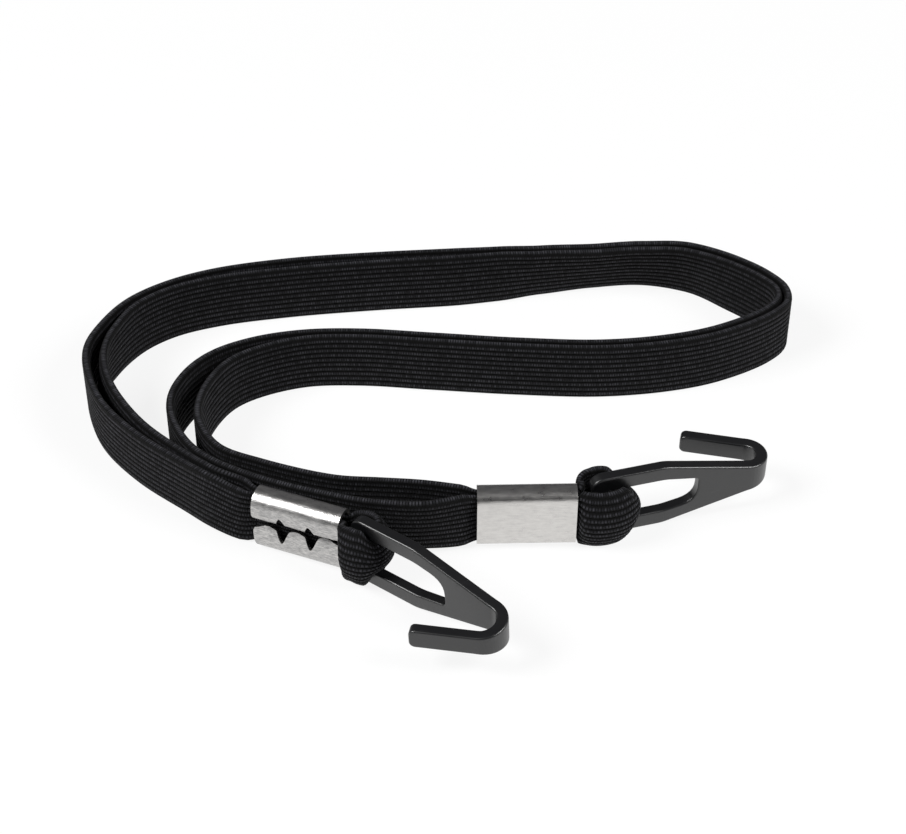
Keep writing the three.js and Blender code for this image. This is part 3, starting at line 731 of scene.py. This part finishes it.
def make_clip(letter, end, body):
    """A folded sheet whose two notched edges meet at the seam."""
    first, last = end["sheet"]
    corner = FLAP_CORNER * (1.0 - np.sin(np.radians(np.linspace(0.0, 90.0, CORNER_STEPS))))
    columns = np.unique(
        np.concatenate(
            [np.linspace(first, last, CLIP_COLUMNS), first + corner, last - corner]
            + [middle + np.linspace(-NOTCH_STEEP, NOTCH_SLOW, NOTCH_COLUMNS) for middle in NOTCH_AT]
        )
    )
    share = np.concatenate([[0.0], np.linspace(FIRST_ROW, 1.0, CLIP_ROWS - 1)])
    halves = []
    for sign, depth in ((-1.0, SHORT_NOTCH_DEPTH), (1.0, LONG_NOTCH_DEPTH)):
        line, run = clip_half_line(SEAM_GAP / 2.0 - sign * SEAM_SHIFT)
        opening = SEAM_OPEN * (last - columns) / (last - first) if sign > 0.0 else 0.0
        reach = (run[-1] - opening - notch_depth(columns, depth, (first, last)))[:, None] * share[None]
        across = np.interp(reach, run, line[:, 0])
        height = sign * np.interp(reach, run, line[:, 1])
        wave = WAVE_HEIGHT * np.sin(columns * WAVE_RATE + sign)[:, None]
        wave = wave * smooth(reach, WAVE_FROM * run[-1], run[-1])
        halves.append((across + wave, height, sign * reach))
    (a0, h0, r0), (a1, h1, r1) = halves
    across = np.concatenate([a0[:, :0:-1], a1], axis=1)
    height = np.concatenate([h0[:, :0:-1], h1], axis=1)
    reach = np.concatenate([r0[:, :0:-1], r1], axis=1)
    along = np.repeat(columns[:, None], across.shape[1], axis=1)
    points = moved(np.stack([along, across, height], -1).reshape(-1, 3), end_matrix(end))
    count = across.shape[1]
    i, k = np.meshgrid(np.arange(len(columns) - 1), np.arange(count - 1), indexing="ij")
    quads = np.stack([i * count + k, (i + 1) * count + k, (i + 1) * count + k + 1, i * count + k + 1], -1)
    quads = quads.reshape(-1, 4)
    piece = new_piece("clip_" + letter + "_sheet", points, quads.tolist(), aluminium)
    layer = piece.data.uv_layers.new(name="sheet")
    flat = np.stack([along.ravel(), reach.ravel()], -1)[quads.ravel()]
    layer.data.foreach_set("uv", flat.astype(np.float32).ravel())
    piece.data.polygons.foreach_set("use_smooth", [True] * len(piece.data.polygons))
    thick = piece.modifiers.new("sheet", "SOLIDIFY")
    thick.thickness = CLIP_SHEET * MM
    thick.offset = 0.0
    edge = piece.modifiers.new("edge", "BEVEL")
    edge.width = CLIP_EDGE * MM
    edge.segments = 2
    edge.limit_method = "ANGLE"
    edge.angle_limit = math.radians(SHARP_ANGLE)
    edge.harden_normals = True
    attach(piece, body)
    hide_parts("clip_" + letter)


make_clip("a", END_A, "strap")
make_clip("b", END_B, "end_b")


# Hooks
def hook_blank():
    """Outlines of the blank and its slot, from the eye's end and across, and the bend's turn and end."""
    turn = math.pi - math.radians(LEG_OPENING)
    bend_end = NECK_AT + BEND_RADIUS * turn
    tip = bend_end + LEG_LENGTH
    eye, neck, leg = EYE_WIDTH / 2.0, NECK_WIDTH / 2.0, LEG_WIDTH / 2.0
    soften = np.linspace(-BLANK_SOFTEN, BLANK_SOFTEN, CORNER_STEPS)

    def half_width(s):
        stops = (-BLANK_MARGIN, EYE_LENGTH, NECK_AT, bend_end, tip + BLANK_MARGIN)
        return np.mean([np.interp(s + d, stops, (eye, eye, neck, leg, leg)) for d in soften], axis=0)

    turns = np.radians(np.linspace(0.0, 90.0, CORNER_STEPS))
    eye_corner = [
        (EYE_CORNER * (1.0 - math.cos(a)), eye - EYE_CORNER * (1.0 - math.sin(a))) for a in turns
    ]
    body = np.arange(EYE_CORNER + BLANK_STEP, tip - LEG_CORNER - BLANK_STEP / 2.0, BLANK_STEP)
    side = list(zip(body, half_width(body)))
    leg_corner = [
        (tip - LEG_CORNER * (1.0 - math.sin(a)), leg - LEG_CORNER * (1.0 - math.cos(a))) for a in turns
    ]
    upper = eye_corner + side + leg_corner
    outer = [(s, -w) for s, w in upper] + [(s, w) for s, w in upper[::-1]]
    wide, narrow, r = EYE_WIDTH / 2.0 - EYE_ARM, SLOT_END_WIDTH / 2.0, SLOT_CORNER

    def corner(a, b, c):
        t = np.linspace(0.0, 1.0, 7)[:, None]
        a, b, c = (np.array(p) for p in (a, b, c))
        return [tuple(p) for p in (1 - t) ** 2 * a + 2 * t * (1 - t) * b + t**2 * c]

    def side_at(s):
        return wide + (narrow - wide) * (s - EYE_LENGTH) / (SLOT_END - EYE_LENGTH)

    def half_slot(rounding):
        near = corner((EYE_BAR, wide - r), (EYE_BAR, wide), (EYE_BAR + r, wide))
        kink = EYE_LENGTH + KINK_ROUND
        middle = corner((EYE_LENGTH - KINK_ROUND, wide), (EYE_LENGTH, wide), (kink, side_at(kink)))
        turn_in = SLOT_END - rounding
        far = corner((turn_in, side_at(turn_in)), (SLOT_END, narrow), (SLOT_END, narrow - rounding))
        return near + middle + far

    slot = half_slot(SLOT_CORNER) + [(s, -w) for s, w in half_slot(SLOT_ROUND)[::-1]]
    return np.array(outer), np.array(slot), turn, bend_end


def inset(outline, distance):
    """An outline moved to its left by a distance."""
    before = unit(outline - np.roll(outline, 1, axis=0))
    after = unit(np.roll(outline, -1, axis=0) - outline)
    normal = unit(np.stack([-(before + after)[:, 1], (before + after)[:, 0]], -1))
    stretch = 1.0 / np.maximum(0.5, np.sum(normal * np.stack([-after[:, 1], after[:, 0]], -1), axis=1))
    return outline + normal * (distance * stretch)[:, None]


def ring_edges(plate, ring):
    """The edges round a closed row of points."""
    return [plate.edges.get((a, b)) for a, b in zip(ring, ring[1:] + ring[:1])]


def make_hook(letter, end):
    """A plate with rounded edges, cut from the blank and bent round at its neck."""
    outer, slot, turn, bend_end = hook_blank()
    plate = bmesh.new()
    tops, bottoms = [], []
    for outline in (outer, slot):
        rows = []
        angles = np.radians(np.linspace(0.0, 90.0, EDGE_STEPS))
        half = HOOK_THICKNESS / 2.0
        levels = [(HOOK_EDGE * (1 - math.sin(a)), half - HOOK_EDGE * (1 - math.cos(a))) for a in angles]
        for depth, z in levels + [(d, -z) for d, z in levels[::-1]]:
            rows.append([plate.verts.new((s, w, z)) for s, w in inset(outline, depth)])
        for row, below in zip(rows, rows[1:]):
            for k in range(len(row)):
                n = (k + 1) % len(row)
                plate.faces.new((row[k], below[k], below[n], row[n]))
        tops += ring_edges(plate, rows[0])
        bottoms += ring_edges(plate, rows[-1])
    bmesh.ops.triangle_fill(plate, edges=tops, use_beauty=True)
    bmesh.ops.triangle_fill(plate, edges=bottoms, use_beauty=True)
    plain_cuts = np.arange(CUT_STEP, NECK_AT, CUT_STEP)
    bend_cuts = np.linspace(NECK_AT, bend_end, BEND_CUTS)
    for s in np.concatenate([plain_cuts, bend_cuts, [bend_end + LEG_CUT]]):
        geometry = plate.verts[:] + plate.edges[:] + plate.faces[:]
        bmesh.ops.bisect_plane(plate, geom=geometry, dist=1e-4, plane_co=(s, 0, 0), plane_no=(1, 0, 0))
    place = (
        end_matrix(end)
        @ Matrix.Translation((CLIP_LENGTH / 2.0 + end["reach"], end["side"], 0.0))
        @ Matrix.Rotation(math.radians(end["turn"]), 4, "Z")
    )
    for vertex in plate.verts:
        s, across, out = vertex.co
        turned = min(max((s - NECK_AT) / BEND_RADIUS, 0.0), turn)
        beyond = max(s - bend_end, 0.0)
        x = min(s, NECK_AT) + BEND_RADIUS * math.sin(turned) + beyond * math.cos(turned) - EYE_BAR / 2.0
        y = BEND_RADIUS * (1.0 - math.cos(turned)) + beyond * math.sin(turned)
        local = Vector((x - out * math.sin(turned), y + out * math.cos(turned), across))
        vertex.co = (place @ local) * MM
    bmesh.ops.recalc_face_normals(plate, faces=plate.faces[:])
    mesh = bpy.data.meshes.new("hook_" + letter + "_coated")
    plate.to_mesh(mesh)
    plate.free()
    mesh.materials.append(coat)
    piece = bpy.data.objects.new("hook_" + letter + "_coated", mesh)
    scene.collection.objects.link(piece)
    round_off(piece, HOOK_SHARP_ANGLE)
    even = piece.modifiers.new("even_faces", "WEIGHTED_NORMAL")
    even.mode = "FACE_AREA"
    even.keep_sharp = True
    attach(piece, "hook_" + letter)
    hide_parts("hook_" + letter)


make_hook("a", END_A)
make_hook("b", END_B)


# Floor
floor_mesh = bpy.data.meshes.new("floor")
floor_corners = [(FLOOR_REACH * x, FLOOR_REACH * y, 0.0) for x, y in ((-1, -1), (1, -1), (1, 1), (-1, 1))]
floor_mesh.from_pydata(floor_corners, [], [(0, 1, 2, 3)])
floor = bpy.data.objects.new("floor", floor_mesh)
floor_mesh.materials.append(floor_material())
scene.collection.objects.link(floor)


# Light
def area_light(name, place, aim, size, power):
    """A rectangular lamp, in metres and watts."""
    data = bpy.data.lights.new(name, "AREA")
    data.shape = "RECTANGLE"
    data.size, data.size_y = size
    data.energy = power
    lamp = bpy.data.objects.new(name, data)
    lamp.location = place
    lamp.rotation_euler = (Vector(aim) - Vector(place)).to_track_quat("-Z", "Y").to_euler()
    scene.collection.objects.link(lamp)


area_light("left_softbox", (-0.95, -0.3, 1.0), (0.0, 0.0, 0.0), (0.6, 0.6), 19.0)
area_light("right_softbox", (1.0, -0.35, 0.95), (0.0, 0.0, 0.0), (0.6, 0.6), 15.0)

world = bpy.data.worlds.new("studio")
scene.world = world
world.use_nodes = True
sky = world.node_tree
direction = sky.nodes.new("ShaderNodeTexCoord").outputs["Generated"]
parts = sky.nodes.new("ShaderNodeSeparateXYZ")
sky.links.new(direction, parts.inputs[0])
ramp = sky.nodes.new("ShaderNodeValToRGB")
ramp.color_ramp.elements[0].position = 0.0
ramp.color_ramp.elements[0].color = (0.064, 0.064, 0.067, 1.0)
ramp.color_ramp.elements[1].position = 1.0
ramp.color_ramp.elements[1].color = (0.106, 0.106, 0.111, 1.0)
facing = sky.nodes.new("ShaderNodeMapRange")
facing.inputs["From Min"].default_value = 0.0
facing.inputs["From Max"].default_value = 0.9
sky.links.new(parts.outputs["Y"], facing.inputs["Value"])
sky.links.new(facing.outputs[0], ramp.inputs["Fac"])
sky.links.new(ramp.outputs["Color"], sky.nodes["Background"].inputs["Color"])
sky.nodes["Background"].inputs["Strength"].default_value = 1.0

scene.view_settings.view_transform = "Standard"
